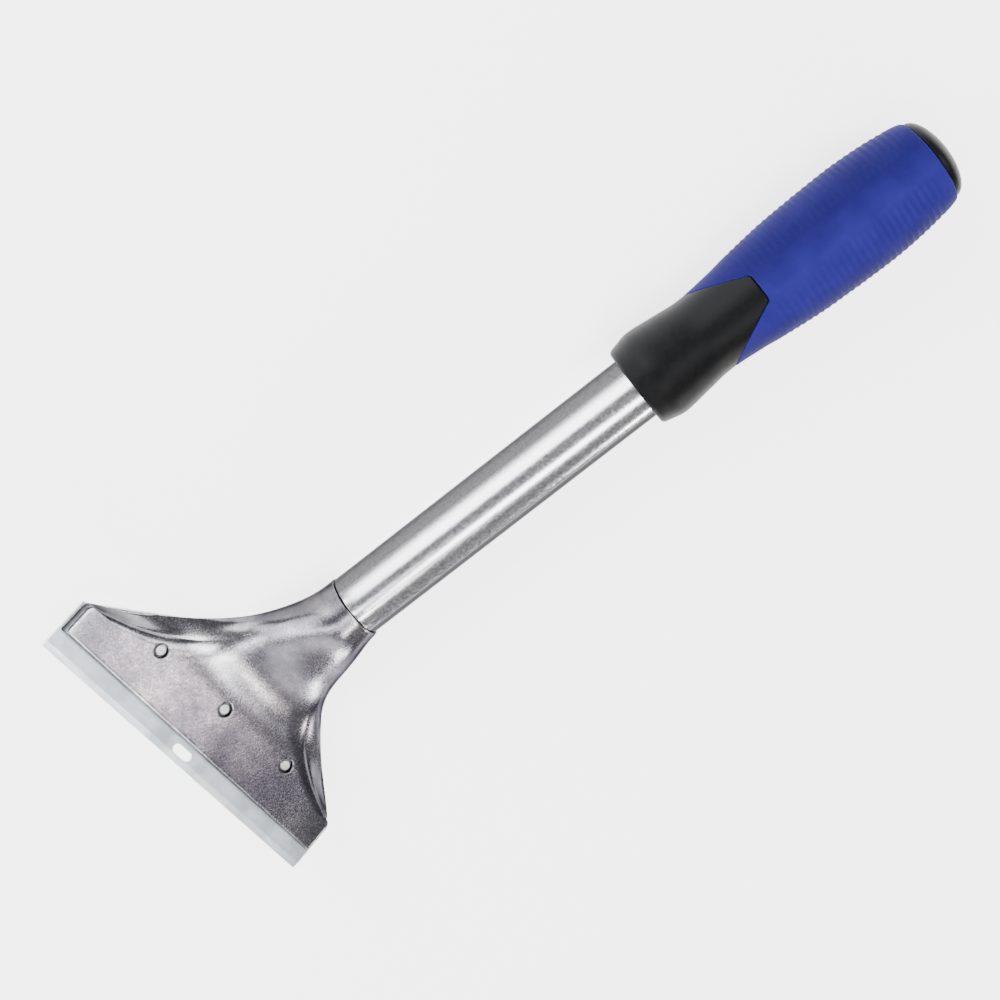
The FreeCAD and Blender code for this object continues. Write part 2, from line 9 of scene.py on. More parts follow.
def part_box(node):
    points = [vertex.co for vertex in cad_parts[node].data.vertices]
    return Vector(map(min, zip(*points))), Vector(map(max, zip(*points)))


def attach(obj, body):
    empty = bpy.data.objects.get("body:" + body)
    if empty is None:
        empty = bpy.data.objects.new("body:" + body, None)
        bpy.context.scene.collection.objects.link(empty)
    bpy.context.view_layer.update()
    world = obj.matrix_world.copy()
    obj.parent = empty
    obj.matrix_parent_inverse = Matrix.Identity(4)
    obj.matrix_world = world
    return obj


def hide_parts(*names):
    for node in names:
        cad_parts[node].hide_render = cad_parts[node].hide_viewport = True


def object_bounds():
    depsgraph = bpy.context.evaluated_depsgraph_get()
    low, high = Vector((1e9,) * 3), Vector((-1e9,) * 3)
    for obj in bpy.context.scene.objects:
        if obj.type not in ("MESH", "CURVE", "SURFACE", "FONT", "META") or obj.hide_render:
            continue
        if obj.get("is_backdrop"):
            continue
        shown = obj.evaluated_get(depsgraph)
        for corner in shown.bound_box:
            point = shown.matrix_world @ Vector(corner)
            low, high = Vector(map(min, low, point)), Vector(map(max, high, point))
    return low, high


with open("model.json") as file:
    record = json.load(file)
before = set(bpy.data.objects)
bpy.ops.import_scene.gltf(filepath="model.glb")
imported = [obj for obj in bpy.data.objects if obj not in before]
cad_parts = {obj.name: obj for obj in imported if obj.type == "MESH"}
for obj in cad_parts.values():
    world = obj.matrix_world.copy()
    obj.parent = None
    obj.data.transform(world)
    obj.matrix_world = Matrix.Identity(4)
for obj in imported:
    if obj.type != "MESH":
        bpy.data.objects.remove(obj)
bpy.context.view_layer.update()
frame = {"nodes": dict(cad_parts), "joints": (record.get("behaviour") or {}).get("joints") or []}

# A floor scraper: die-cast head, clamped blade, plated tube and a black and blue handle.
# Lengths are millimetres in a local frame until a mesh is placed, when they become metres in the
# shared frame. The head frame starts at the middle of the cutting edge, with y back along the blade
# and z towards the front face. The handle frame has y along the tube, from the handle's mouth.

MM = 0.001

# The blade, and the tube's axis as (y, z) in the head frame with the tube's places along it.
BLADE_THICK = 1.0
BEVEL_DROP = 0.42
BEND = math.radians(27.0)
AXIS_POINT = (50.0, 16.3)
SEAM_ALONG = 13.0
MOUTH_ALONG = 96.0
HANDLE_TURN = math.radians(-30.0)
SEAM_Y = AXIS_POINT[0] + SEAM_ALONG * math.cos(BEND)

# The casting: a flat plate over the blade, a fan behind its shoulders and a round neck.
HEAD_FRONT = 6.1
HEAD_HALF = 49.7
FRONT_ROUNDING = 0.8
PLATE_FRONT = 2.8
SHOULDER = 15.8
SHOULDER_RUN = 2.0
BLADE_SEAT_END = 15.6
BLADE_SEAT_GAP = 0.02
UNDERSIDE_END = 42.0
NECK_RADIUS = 9.3
NECK_UNDER = 7.0
FLANK_INSET = 10.5
EDGE_INSET = 0.8
CROWN = 1.3
CROWN_WIDTH = 9.0
SWELL_POWER = 0.62
HEAD_LEAN = 2.8
FAN_FULLNESS = 1.2

# Between these two places the flat section turns into the neck's circle, and on that circle the
# crease and the foot of the flank come at these angles. A soft ridge stays along the crease.
BLEND = (19.0, 57.0)
CREASE_ANGLE = 30.0
FOOT_ANGLE = -50.0
RIDGE = (0.3, 1.0)
RIDGE_RISE = (26.0, 40.0)
RIDGE_FADE = (40.0, 58.0)
RIDGE_SPREAD = 42.0
WAVE_HEIGHT = 0.05
WAVE_LENGTH = 8.0

# The spigot in the tube, the holes in a line and the ejector marks as (x, y).
SPIGOT_RADIUS = 7.77
SPIGOT_LENGTH = 30.0
SCREW_LINE = 19.4
SCREW_PITCH = 25.5
SCREW_HOLE = 2.02
EJECTOR_MARKS = ((-5.2, 14.9), (27.5, 14.6))

TUBE_RADIUS = 9.0
TUBE_BORE = 7.8
TUBE_LENGTH = 170.0
PIN_HOLE = 1.52
PIN_ALONG = 14.0

# The handle: a sleeve inside, hard tongues with slanted sides, and fine ribs on the soft grip.
CORE_BORE = 9.02
SLEEVE_RADIUS = 10.6
TONGUE_START = 23.0
TONGUE_TIP = 40.5
TONGUE_WIDE = 12.1
TONGUE_HALF = 4.7
TONGUE_CORNER = 1.6
GRIP_END = 94.4
RIB_PITCH = 1.87
RIB_DEPTH = 0.22
RIB_SIDES = (0.24, 0.44)
RIB_START = (37.0, 41.0)
RIB_STOP = (88.5, 91.5)
ROUND_STEPS = 240

# Half the handle's outline as (radius, distance from the mouth).
HANDLE_OUTLINE = [
    (12.0, 1.4),
    (13.05, 6.8),
    (12.28, 14.6),
    (11.5, 22.4),
    (12.19, 32.2),
    (13.55, 42.5),
    (14.44, 53.8),
    (14.8, 71.5),
    (14.58, 77.7),
    (14.15, 83.0),
    (13.5, 88.2),
    (12.7, 92.4),
    (12.2, 94.0),
]


# ---------------------------------------------------------------- local frames


def head_frame():
    """From the head frame in millimetres to the shared frame in metres."""
    slide = next(joint for joint in frame["joints"] if joint["name"] == "blade_slide")
    cosine, sine = -slide["axis"][1], slide["axis"][2]
    low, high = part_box("blade")
    y = low.y / MM + (BLADE_THICK - BEVEL_DROP) * sine
    z = high.z / MM + BEVEL_DROP * cosine
    turn = Matrix(((1, 0, 0, 0), (0, cosine, sine, y), (0, -sine, cosine, z), (0, 0, 0, 1)))
    return Matrix.Scale(MM, 4) @ turn


def tube_frame():
    """The tube's frame, from the seam: y along the axis and z away from the back."""
    start = Vector((0, AXIS_POINT[0], AXIS_POINT[1]))
    seam = start + Vector((0, math.cos(BEND), math.sin(BEND))) * SEAM_ALONG
    return head_frame() @ Matrix.Translation(seam) @ Matrix.Rotation(BEND, 4, "X")


def handle_frame():
    """The handle's frame, from its mouth: y along the tube, turned about it like the handle."""
    shift = Matrix.Translation((0, MOUTH_ALONG, 0))
    return tube_frame() @ shift @ Matrix.Rotation(HANDLE_TURN, 4, "Y")


# ---------------------------------------------------------------- mesh helpers


def soft_step(value, low, high):
    """Rises smoothly from 0 at low to 1 at high."""
    share = min(max((value - low) / (high - low), 0.0), 1.0)
    return share * share * (3 - 2 * share)


def spread(low, high, count):
    """Evenly spaced values from low to high, both included."""
    return [low + (high - low) * step / (count - 1) for step in range(count)]


def quarter_angles(steps):
    """Angles from 0 to 90 degrees, in equal steps."""
    return [math.pi / 2 * step / steps for step in range(steps + 1)]


def upright(x, y):
    """Points the y axis of a turned shape along z, from the place x, y."""
    return Matrix.Translation((x, y, 0)) @ Matrix.Rotation(math.pi / 2, 4, "X")


def mesh_from_rings(name, rings, matrix, joined=False, capped=False):
    """A skin over rings of points; joined closes the last ring to the first, capped fills both."""
    mesh = bmesh.new()
    rows = [[mesh.verts.new(matrix @ Vector(point)) for point in ring] for ring in rings]
    pairs = list(zip(rows, rows[1:]))
    if joined:
        pairs.append((rows[-1], rows[0]))
    count = len(rows[0])
    for here, there in pairs:
        for step in range(count):
            after = (step + 1) % count
            mesh.faces.new((here[step], here[after], there[after], there[step]))
    if capped:
        mesh.faces.new(rows[0])
        mesh.faces.new(rows[-1])
    bmesh.ops.recalc_face_normals(mesh, faces=mesh.faces)
    data = bpy.data.meshes.new(name)
    mesh.to_mesh(data)
    mesh.free()
    obj = bpy.data.objects.new(name, data)
    bpy.context.scene.collection.objects.link(obj)
    return obj


def turned(profile, steps=128):
    """Rings about the y axis from a list of (radius, along)."""
    angles = [2 * math.pi * step / steps for step in range(steps)]
    return [[(r * math.sin(a), along, r * math.cos(a)) for a in angles] for r, along in profile]


def shade(obj, limit=38.0):
    """Smooth shading that breaks where two faces meet at more than the limit."""
    mesh = bmesh.new()
    mesh.from_mesh(obj.data)
    for face in mesh.faces:
        face.smooth = True
    for edge in mesh.edges:
        edge.smooth = len(edge.link_faces) == 2 and edge.calc_face_angle() < math.radians(limit)
    mesh.to_mesh(obj.data)
    mesh.free()
    return obj


def cut_away(obj, tool):
    """Cuts one mesh with another and drops the tool."""
    modifier = obj.modifiers.new("cut", "BOOLEAN")
    modifier.operation = "DIFFERENCE"
    modifier.solver = "EXACT"
    modifier.object = tool
    bpy.context.view_layer.update()
    evaluated = obj.evaluated_get(bpy.context.evaluated_depsgraph_get())
    data = bpy.data.meshes.new_from_object(evaluated)
    obj.modifiers.clear()
    obj.data = data
    bpy.data.objects.remove(tool)
    return obj


def finished(obj, body, slot, material, *nodes):
    """Paints a piece, hangs it on its body and lets it stand for CAD nodes."""
    obj.data.materials.clear()
    obj.data.materials.append(material)
    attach(obj, body)
    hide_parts(*nodes)
    return obj


# ---------------------------------------------------------------- head casting


def fan_share(y):
    """How far back along the fan a place is, from 0 at the shoulders to 1 at the seam."""
    return min(max((y - SHOULDER) / (SEAM_Y - SHOULDER), 0.0), 1.0)


def swell(y):
    """Rises behind the shoulders, is fullest low on the fan and dies out at the seam."""
    return math.sin(math.pi * fan_share(y) ** SWELL_POWER)


def fan_half(y):
    """Half the fan's width behind the shoulders."""
    taper = (1 - fan_share(y)) ** 2
    return NECK_RADIUS + (HEAD_HALF - NECK_RADIUS) * taper + FAN_FULLNESS * swell(y)


def casting_half(y):
    """Half the casting's width, with rounded rear corners."""
    start, stop = SHOULDER - SHOULDER_RUN, SHOULDER + SHOULDER_RUN
    if y < start:
        return HEAD_HALF
    if y > stop:
        return fan_half(y)
    share = (y - start) / (stop - start)
    return HEAD_HALF * (1 - share ** 2) + fan_half(stop) * share ** 2


def corner_curve(before, corner, after, reach, distance):
    """A point on the curve that rounds a corner; distance runs from -reach to reach."""
    share = (distance + reach) / (2 * reach)
    start = corner + (before - corner).normalized() * reach
    end = corner + (after - corner).normalized() * reach
    return start * (1 - share) ** 2 + corner * 2 * share * (1 - share) + end * share ** 2


def leg_points(corners, leg, shares, reaches):
    """Points on one side of a polygon whose corners are rounded by their reaches."""
    first, last = corners[leg], corners[leg + 1]
    length = (last - first).length
    points = []
    for share in shares:
        along = share * length
        if leg > 0 and along < reaches[leg]:
            points.append(corner_curve(corners[leg - 1], first, last, reaches[leg], along))
        elif leg + 2 < len(corners) and length - along < reaches[leg + 1]:
            distance = along - length
            points.append(corner_curve(first, last, corners[leg + 2], reaches[leg + 1], distance))
        else:
            points.append(first + (last - first) * share)
    return points


def half_legs():
    """Front, flank and underside of a half-section, as (share of the leg, angle on the neck)."""
    front = [math.sin(math.pi / 2 * share) for share in spread(0, 1, 27)]
    flank = [(1 - math.cos(math.pi * share)) / 2 for share in spread(0, 1, 19)]
    under = [1 - math.cos(math.pi / 2 * share) for share in spread(0, 1, 13)]
    legs = [
        (front, 90.0, CREASE_ANGLE),
        (flank, CREASE_ANGLE, FOOT_ANGLE),
        (under, FOOT_ANGLE, -90.0),
    ]
    return [[(share, start + (stop - start) * share) for share in leg] for leg, start, stop in legs]


def closed_ring(side):
    """A whole ring from its right half, which runs from the crest to the keel."""
    return side + [(-x, y, z) for x, y, z in reversed(side[1:-1])]


def neck_bulge(degrees, y):
    """How much the ridge stands out from the neck's circle; it dies down towards the tube."""
    low, high = RIDGE
    height = low + (high - low) * soft_step(y, *RIDGE_RISE) * (1 - soft_step(y, *RIDGE_FADE))
    away = math.hypot(degrees - CREASE_ANGLE, 3.0)
    return height * max(0.0, 1 - away / RIDGE_SPREAD)


def crown_drop(leg, share, inside, crease):
    """How far the front face falls towards its crease, and fades down the flank."""
    if leg == 2:
        return 0.0
    if leg == 1:
        return CROWN * (1 - share)
    return CROWN * max(0.0, 1 - inside / min(CROWN_WIDTH, 0.8 * crease)) ** 2


def flat_section(y, drop, neck, axis_height):
    """The right half of the flat section, with heights from the axis, and its corner reaches."""
    under = NECK_UNDER * neck - BLADE_THICK - 0.6 * (1 - neck) ** 2 - axis_height
    front = PLATE_FRONT - drop - axis_height
    half = casting_half(y) - drop
    inset = math.hypot(EDGE_INSET * (1 - neck), min(FLANK_INSET * swell(y), 0.6 * half))
    crease = Vector((half - inset, front - 0.3 * neck))
    foot = Vector((half, under))
    flank = (foot - crease).length
    soft_crease, soft_foot = 0.9 + 1.8 * swell(y), 0.8
    reaches = [0, min(soft_crease, 0.45 * flank), min(soft_foot, 0.4 * flank), 0]
    return [Vector((0, front)), crease, foot, Vector((0, under))], reaches


def rounded_point(flat, degrees, y, half, neck, axis_height):
    """Draws a point of the flat section towards the neck's circle and leans it with the tube."""
    bulge = neck_bulge(degrees, y)
    angle = math.radians(degrees)
    round_share = neck ** 1.5
    across = flat.x * (1 - round_share) + (half + bulge) * math.cos(angle) * round_share
    height = flat.y * (1 - neck) + (NECK_RADIUS + bulge) * math.sin(angle) * neck
    along = y - height * math.sin(BEND * neck)
    return across, along, axis_height + height * math.cos(BEND * neck)


def casting_section(y, drop=0.0):
    """A ring round the casting: front face, flanks and underside, growing into the round neck."""
    neck = soft_step(y, *BLEND)
    axis_height = AXIS_POINT[1] + (y - AXIS_POINT[0]) * math.tan(BEND)
    half = casting_half(y) - drop
    corners, reaches = flat_section(y, drop, neck, axis_height)
    crease = corners[1].x
    crown = 0.35 + 0.65 * swell(y)
    lowest = BLADE_SEAT_GAP if y < BLADE_SEAT_END else -BLADE_THICK
    side = []
    for leg, steps in enumerate(half_legs()):
        flats = leg_points(corners, leg, [share for share, _ in steps], reaches)
        for (share, degrees), flat in zip(steps, flats):
            flat.y -= crown_drop(leg, share, crease - flat.x, crease) * crown
            across, along, z = rounded_point(flat, degrees, y, half, neck, axis_height)
            if along < UNDERSIDE_END:
                z = max(z, lowest)
            if leg == 0 and drop == 0:
                z += WAVE_HEIGHT * noise.noise(Vector((across, along, 0.0)) / WAVE_LENGTH)
            side.append((across, along, z))
        if leg < 2:
            side.pop()
    return [(x + HEAD_LEAN * swell(y), at, z) for x, at, z in closed_ring(side)]


def neck_ring(radius, along, ridge=0.0):
    """A ring square with the tube, with the same count of points as a section."""
    middle_y = AXIS_POINT[0] + (SEAM_ALONG + along) * math.cos(BEND)
    middle_z = AXIS_POINT[1] + (SEAM_ALONG + along) * math.sin(BEND)
    side = []
    for leg, steps in enumerate(half_legs()):
        for _, degrees in steps:
            reach = radius + ridge * neck_bulge(degrees, SEAM_Y)
            height = reach * math.sin(math.radians(degrees))
            y = middle_y - height * math.sin(BEND)
            z = middle_z + height * math.cos(BEND)
            side.append((reach * math.cos(math.radians(degrees)), y, z))
        if leg < 2:
            side.pop()
    return closed_ring(side)


def casting_rings():
    """Rings from the rounded front edge back to the end of the spigot in the tube."""
    rings = []
    for angle in quarter_angles(6):
        back = FRONT_ROUNDING * (1 - math.cos(angle))
        rings.append(casting_section(HEAD_FRONT + back, FRONT_ROUNDING * (1 - math.sin(angle))))
    stations = spread(HEAD_FRONT + 1.4, SHOULDER - SHOULDER_RUN - 0.2, 8)
    stations += spread(SHOULDER - SHOULDER_RUN, BLADE_SEAT_END - 0.01, 7)
    stations += spread(BLADE_SEAT_END + 0.01, SHOULDER + SHOULDER_RUN, 9)
    stations += spread(SHOULDER + SHOULDER_RUN + 0.4, SEAM_Y - 0.6, 84)
    rings += [casting_section(y) for y in stations]
    rings += [neck_ring(NECK_RADIUS, -0.35, 1.0), neck_ring(NECK_RADIUS - 0.12, -0.16, 1.0)]
    rings += [neck_ring(TUBE_RADIUS + 0.04, -0.08)]
    rings += [neck_ring(SPIGOT_RADIUS, -0.08), neck_ring(SPIGOT_RADIUS, SPIGOT_LENGTH)]
    return rings


def screw_hole_cutter(x):
    """A round cutter with a flared top that leaves a soft lip."""
    lip, sunk = 0.42, 0.01
    profile = [(SCREW_HOLE, -3.0)]
    for angle in quarter_angles(6):
        radius = SCREW_HOLE + lip * (1 - math.cos(angle))
        profile.append((radius, PLATE_FRONT - lip * (1 - math.sin(angle)) - sunk))
    profile.append((SCREW_HOLE + lip + 0.05, PLATE_FRONT + 2.0))
    place = head_frame() @ upright(x, SCREW_LINE)
    return mesh_from_rings("screw_hole_cutter", turned(profile, 64), place, capped=True)


def ejector_cutter(x, y):
    """A thin round cutter that leaves the faint ring of an ejector pin."""
    inner, wide, depth = 1.9, 0.22, 0.1
    low, high = PLATE_FRONT - depth, PLATE_FRONT + 1.0
    profile = [(inner, low), (inner + wide, low), (inner + wide, high), (inner, high)]
    place = head_frame() @ upright(x, y)
    return mesh_from_rings("ejector_cutter", turned(profile, 64), place, joined=True)


def pin_hole_cutter():
    """A round cutter through the back of the tube and into the spigot."""
    profile = [(PIN_HOLE, -12.0), (PIN_HOLE, 4.5)]
    place = tube_frame() @ upright(0, PIN_ALONG)
    return mesh_from_rings("pin_hole_cutter", turned(profile, 48), place, capped=True)


def make_casting():
    """The fan, the neck and the spigot in one casting, with its holes."""
    obj = mesh_from_rings("die_cast_head", casting_rings(), head_frame(), capped=True)
    for place in (-SCREW_PITCH, 0.0, SCREW_PITCH):
        cut_away(obj, screw_hole_cutter(place))
    for x, y in EJECTOR_MARKS:
        cut_away(obj, ejector_cutter(x, y))
    cut_away(obj, pin_hole_cutter())
    shade(obj)
    return finished(obj, "tool", "cast_metal", casting_material(), "head_casting")


# ---------------------------------------------------------------- tube


def make_tube():
    """The plated tube, with a rounded end at the seam and the pin's hole."""
    edge = 0.35
    profile = [(TUBE_BORE, 0.1), (TUBE_RADIUS - edge, 0.0)]
    for angle in quarter_angles(6)[1:]:
        profile.append((TUBE_RADIUS - edge + edge * math.sin(angle), edge * (1 - math.cos(angle))))
    profile += [(TUBE_RADIUS, along) for along in spread(4.0, TUBE_LENGTH - 0.4, 30)]
    profile += [(TUBE_RADIUS - 0.3, TUBE_LENGTH), (TUBE_BORE, TUBE_LENGTH)]
    obj = mesh_from_rings("plated_tube", turned(profile, 160), tube_frame(), joined=True)
    cut_away(obj, pin_hole_cutter())
    shade(obj)
    return finished(obj, "tool", "plated_tube", tube_material(), "steel_tube")


# ---------------------------------------------------------------- handle


def outline_slopes():
    """Slopes for a smooth curve through the outline that doesn't overshoot."""
    radii, places = zip(*HANDLE_OUTLINE)
    steps = [(radii[i + 1] - radii[i]) / (places[i + 1] - places[i]) for i in range(len(radii) - 1)]
    slopes = [steps[0]]
    for before, after in zip(steps, steps[1:]):
        slopes.append(0.0 if before * after <= 0 else 2 * before * after / (before + after))
    return slopes + [steps[-1]]


OUTLINE_SLOPES = outline_slopes()


def handle_radius(along):
    """The handle's radius a distance from its mouth."""
    places = [place for _, place in HANDLE_OUTLINE]
    along = min(max(along, places[0]), places[-1])
    index = max(i for i in range(len(places) - 1) if places[i] <= along)
    width = places[index + 1] - places[index]
    t = (along - places[index]) / width
    here, there = HANDLE_OUTLINE[index][0], HANDLE_OUTLINE[index + 1][0]
    rise = here * (1 + 2 * t) * (1 - t) ** 2 + there * t * t * (3 - 2 * t)
    lean = OUTLINE_SLOPES[index] * t * (1 - t) ** 2 - OUTLINE_SLOPES[index + 1] * t * t * (1 - t)
    return rise + lean * width


def tongue_end(angle):
    """Where the hard tongue stops and the soft grip starts, at an angle about the axis."""
    along = TONGUE_START
    for _ in range(8):
        across = handle_radius(along) * abs(math.sin(angle))
        slant = TONGUE_START + (TONGUE_TIP - TONGUE_CORNER - TONGUE_START) * (
            (TONGUE_WIDE - across) / (TONGUE_WIDE - TONGUE_HALF))
        over = max(across - TONGUE_HALF + TONGUE_CORNER, 0.0)
        corner = TONGUE_TIP - TONGUE_CORNER + math.sqrt(max(TONGUE_CORNER ** 2 - over ** 2, 0.0))
        target = min(slant, TONGUE_TIP) if across > TONGUE_HALF else corner
        along += 0.6 * (target - along)
    return along


def rib_depth(along, angle):
    """Fine ribs round both sides; the middle of the front and the back stays smooth."""
    side = soft_step(abs(math.sin(angle)), *RIB_SIDES)
    length = soft_step(along, *RIB_START) * (1 - soft_step(along, *RIB_STOP))
    wave = 0.5 - 0.5 * math.cos(2 * math.pi * along / RIB_PITCH)
    return RIB_DEPTH * side * length * wave ** 0.7


def rows_to_rings(rows):
    """Rows of (radius, along) at each angle, turned into rings about the axis."""
    angles = [2 * math.pi * step / ROUND_STEPS for step in range(ROUND_STEPS)]
    columns = [rows(angle) for angle in angles]
    return [
        [(r * math.sin(a), along, r * math.cos(a)) for a, (r, along) in zip(angles, level)]
        for level in zip(*columns)
    ]


def core_rows(angle):
    """From the bore out over the lip and along the collar and tongue, then down to the sleeve."""
    lip = [(CORE_BORE, 2.2), (9.9, 2.2), (9.9, 0.5), (10.0, 0.2), (10.25, 0.05), (10.7, 0.0),
           (11.2, 0.1), (11.6, 0.4), (11.85, 0.85)]
    collar = [(handle_radius(along), along) for along in spread(1.4, 21.5, 42)]
    end, edge = tongue_end(angle) - 0.1, 0.35
    top = [(handle_radius(along), along) for along in spread(21.9, end - edge, 40)]
    turn = []
    for bow in quarter_angles(5)[1:]:
        place = end - edge + edge * math.sin(bow)
        turn.append((handle_radius(place) - edge * (1 - math.cos(bow)), place))
    foot = [(SLEEVE_RADIUS, end), (SLEEVE_RADIUS, GRIP_END), (CORE_BORE, GRIP_END)]
    return lip + collar + top + turn + foot


def grip_rows(angle):
    """From the sleeve up at the tongue's edge, over the ribs to the butt, and back inside."""
    start, edge, last = tongue_end(angle) + 0.1, 0.35, 0.6
    turn = []
    for bow in quarter_angles(5):
        place = start + edge * (1 - math.cos(bow))
        turn.append((handle_radius(place) - edge * (1 - math.sin(bow)), place))
    body = []
    for along in spread(start + edge + 0.1, GRIP_END - last, 310):
        body.append((handle_radius(along) - rib_depth(along, angle), along))
    butt = []
    for bow in quarter_angles(5)[1:]:
        place = GRIP_END - last + last * math.sin(bow)
        butt.append((handle_radius(place) - last * (1 - math.cos(bow)), place))
    inside = [(SLEEVE_RADIUS + 0.02, GRIP_END), (SLEEVE_RADIUS + 0.02, start)]
    return turn + body + butt + inside


def make_core():
    """The hard black moulding: collar, tongues and the sleeve under the grip."""
    obj = mesh_from_rings("hard_handle_core", rows_to_rings(core_rows), handle_frame(), joined=True)
    shade(obj, 50.0)
    return finished(obj, "tool", "black_plastic", black_plastic("core_plastic"), "handle_core")


def make_grip():
    """The soft blue moulding round the sleeve."""
    obj = mesh_from_rings("ribbed_soft_grip", rows_to_rings(grip_rows), handle_frame(), joined=True)
    shade(obj, 60.0)
    return finished(obj, "tool", "blue_rubber", rubber_material(), "soft_grip")


def make_cap():
    """A domed cap with a plug that sits in the handle's end."""
    plug_radius, plug_depth = 8.6, 7.0
    radius, rim, tip = 11.4, 0.6, 99.5
    seat, point = GRIP_END + 0.02, 0.01
    profile = [(point, GRIP_END - plug_depth), (plug_radius, GRIP_END - plug_depth)]
    profile += [(plug_radius, seat), (radius - 0.3, seat), (radius, GRIP_END + 0.25)]
    rise = tip - GRIP_END - rim
    for bow in quarter_angles(24):
        across = max(radius * math.cos(bow), point)
        profile.append((across, GRIP_END + rim + rise * math.sin(bow) ** 1.05))
    obj = mesh_from_rings("domed_end_cap", turned(profile, 128), handle_frame(), capped=True)
    shade(obj)
    return finished(obj, "tool", "black_plastic", black_plastic("cap_plastic"), "end_cap")


# ---------------------------------------------------------------- materials

# Lessens the painted side shade on faces turned back, compared with faces turned sideways.
BACK_SPARED = 0.15


def new_material(name, **values):
    """A material with one shader and uniform values set on its own sockets."""
    material = bpy.data.materials.new(name)
    material.use_nodes = True
    tree = material.node_tree
    shader = tree.nodes["Principled BSDF"]
    for socket, value in values.items():
        shader.inputs[socket.replace("_", " ")].default_value = value
    return material, tree, shader


def grain(tree, scale, detail=3.0, roughness=0.5, stretch=(1, 1, 1)):
    """Noise fixed to the piece, with its scale in repeats per metre."""
    place = tree.nodes.new("ShaderNodeTexCoord")
    mapping = tree.nodes.new("ShaderNodeMapping")
    mapping.inputs["Scale"].default_value = stretch
    texture = tree.nodes.new("ShaderNodeTexNoise")
    texture.inputs["Scale"].default_value = scale
    texture.inputs["Detail"].default_value = detail
    texture.inputs["Roughness"].default_value = roughness
    tree.links.new(place.outputs["Object"], mapping.inputs["Vector"])
    tree.links.new(mapping.outputs["Vector"], texture.inputs["Vector"])
    return texture.outputs["Fac"]


def ramp(tree, factor, stops):
    """Colours by position; each stop is (position, (red, green, blue))."""
    node = tree.nodes.new("ShaderNodeValToRGB")
    elements = node.color_ramp.elements
    while len(elements) < len(stops):
        elements.new(0.5)
    for element, (position, colour) in zip(elements, stops):
        element.position = position
        element.color = (*colour, 1.0)
    tree.links.new(factor, node.inputs["Fac"])
    return node.outputs["Color"]


def remap(tree, factor, low, high, inside=(0.3, 0.7)):
    """Stretches the range inside to the range from low to high."""
    node = tree.nodes.new("ShaderNodeMapRange")
    node.inputs["From Min"].default_value = inside[0]
    node.inputs["From Max"].default_value = inside[1]
    node.inputs["To Min"].default_value = low
    node.inputs["To Max"].default_value = high
    tree.links.new(factor, node.inputs["Value"])
    return node.outputs["Result"]


def calculated(tree, operation, first, second):
    """A sum on two values, each of them a node's output or a number."""
    node = tree.nodes.new("ShaderNodeMath")
    node.operation = operation
    for socket, value in zip(node.inputs, (first, second)):
        if isinstance(value, (int, float)):
            socket.default_value = value
        else:
            tree.links.new(value, socket)
    return node.outputs["Value"]


def multiplied(tree, colour, other):
    """One colour times another."""
    mix = tree.nodes.new("ShaderNodeMix")
    mix.data_type = "RGBA"
    mix.blend_type = "MULTIPLY"
    mix.inputs["Factor"].default_value = 1.0
    tree.links.new(colour, mix.inputs["A"])
    tree.links.new(other, mix.inputs["B"])
    return mix.outputs["Result"]


def painted_side_shade(tree, colour, stops, right=1.0):
    """Paints shade into a colour where the surface faces left, right or back; right weighs the
    right side.
    """
    place = tree.nodes.new("ShaderNodeTexCoord")
    split = tree.nodes.new("ShaderNodeSeparateXYZ")
    tree.links.new(place.outputs["Normal"], split.inputs["Vector"])
    leftward = calculated(tree, "MULTIPLY", split.outputs["X"], -1.0)
    rightward = calculated(tree, "MULTIPLY", split.outputs["X"], right)
    backward = calculated(tree, "SUBTRACT", split.outputs["Y"], BACK_SPARED)
    sideways = calculated(tree, "MAXIMUM", leftward, rightward)
    either = calculated(tree, "MAXIMUM", sideways, backward)
    return multiplied(tree, colour, ramp(tree, either, stops))


def painted_shade_across_head(tree, colour, stops):
    """Paints shade and highlight into the plating, unevenly from the left end of the head to the
    right end.
    """
    place = tree.nodes.new("ShaderNodeTexCoord")
    split = tree.nodes.new("ShaderNodeSeparateXYZ")
    tree.links.new(place.outputs["Object"], split.inputs["Vector"])
    across = remap(tree, split.outputs["X"], 0.0, 1.0, (-HEAD_HALF * MM, HEAD_HALF * MM))
    return multiplied(tree, colour, ramp(tree, across, stops))


def bumped(tree, shader, factor, height):
    """Bumps of a height in millimetres."""
    node = tree.nodes.new("ShaderNodeBump")
    node.inputs["Strength"].default_value = 1.0
    node.inputs["Distance"].default_value = height * MM
    tree.links.new(factor, node.inputs["Height"])
    tree.links.new(node.outputs["Normal"], shader.inputs["Normal"])


